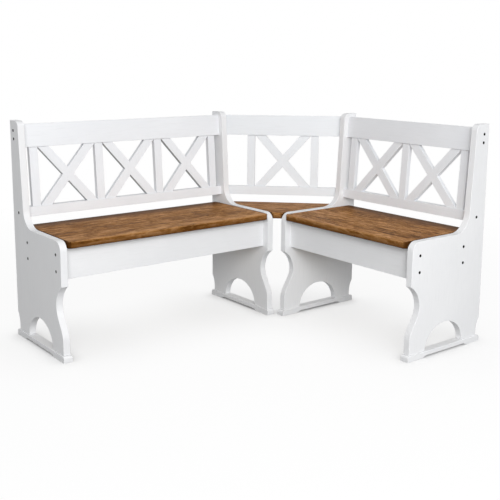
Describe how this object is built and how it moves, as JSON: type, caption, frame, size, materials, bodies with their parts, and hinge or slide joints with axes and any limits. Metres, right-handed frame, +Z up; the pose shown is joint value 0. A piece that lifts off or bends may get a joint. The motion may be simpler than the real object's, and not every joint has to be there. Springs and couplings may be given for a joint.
{
  "type": "corner storage bench",
  "caption": "L-shaped corner bench: lift-up wooden seats hinged over storage boxes, cut-out end panels and leaning backs with crossed bars, joined by a fixed corner seat.",
  "frame": {"origin": "middle of the footprint's bounding box, on the floor", "axes": "+Z up; the room corner is at +X and +Y; the long bench runs along X with its back towards +Y, the short bench runs along Y with its back towards +X"},
  "size_m": [1.521, 1.254, 0.92],
  "materials": {
    "white_paint": "satin white paint over solid pine, smooth, edges slightly rounded",
    "stained_wood": "warm brown stain and semi-gloss lacquer over solid pine, grain along the board",
    "raw_pine": "planed bare pine, unpainted",
    "plywood": "sanded bare plywood",
    "plated_steel": "zinc-plated pressed steel, satin"
  },
  "bodies": {
    "frame": {"corner_back_slat_1": "white_paint", "corner_back_slat_2": "white_paint", "corner_bottom_rail": "white_paint", "corner_cross_1_falling_bar": "white_paint", "corner_cross_1_rising_bar": "white_paint", "corner_seat": "stained_wood", "corner_seat_cleat_long_side": "white_paint", "corner_seat_cleat_short_side": "white_paint", "corner_top_rail": "white_paint", "long_back_slat_1": "white_paint", "long_back_slat_2": "white_paint", "long_back_slat_3": "white_paint", "long_back_slat_4": "white_paint", "long_bottom_rail": "white_paint", "long_box_bottom": "plywood", "long_cross_1_falling_bar": "white_paint", "long_cross_1_rising_bar": "white_paint", "long_cross_2_falling_bar": "white_paint", "long_cross_2_rising_bar": "white_paint", "long_cross_3_falling_bar": "white_paint", "long_cross_3_rising_bar": "white_paint", "long_front_apron": "white_paint", "long_hinge_1_apron_leaf": "plated_steel", "long_hinge_2_apron_leaf": "plated_steel", "long_inner_end_panel": "white_paint", "long_inner_foot_rail": "white_paint", "long_outer_end_panel": "white_paint", "long_outer_foot_rail": "white_paint", "long_rear_apron": "white_paint", "long_top_rail": "white_paint", "short_back_slat_1": "white_paint", "short_back_slat_2": "white_paint", "short_back_slat_3": "white_paint", "short_bottom_rail": "white_paint", "short_box_bottom": "plywood", "short_cross_1_falling_bar": "white_paint", "short_cross_1_rising_bar": "white_paint", "short_cross_2_falling_bar": "white_paint", "short_cross_2_rising_bar": "white_paint", "short_front_apron": "white_paint", "short_hinge_1_apron_leaf": "plated_steel", "short_hinge_2_apron_leaf": "plated_steel", "short_inner_end_panel": "white_paint", "short_inner_foot_rail": "white_paint", "short_outer_end_panel": "white_paint", "short_outer_foot_rail": "white_paint", "short_rear_apron": "white_paint", "short_top_rail": "white_paint"},
    "long_lid": {"long_hinge_1_lid_leaf": "plated_steel", "long_hinge_2_lid_leaf": "plated_steel", "long_lid": "stained_wood", "long_lid_batten_1": "raw_pine", "long_lid_batten_2": "raw_pine"},
    "short_lid": {"short_hinge_1_lid_leaf": "plated_steel", "short_hinge_2_lid_leaf": "plated_steel", "short_lid": "stained_wood", "short_lid_batten_1": "raw_pine", "short_lid_batten_2": "raw_pine"}
  },
  "joints": [
    {"name": "long_lid_hinge", "type": "hinge", "parent": "frame", "child": "long_lid", "pos_m": [-0.22975, 0.515, 0.447], "axis": [-1, 0, 0], "range_deg": [0, 88]},
    {"name": "short_lid_hinge", "type": "hinge", "parent": "frame", "child": "short_lid", "pos_m": [0.6485, -0.22975, 0.447], "axis": [0, 1, 0], "range_deg": [0, 88]}
  ]
}
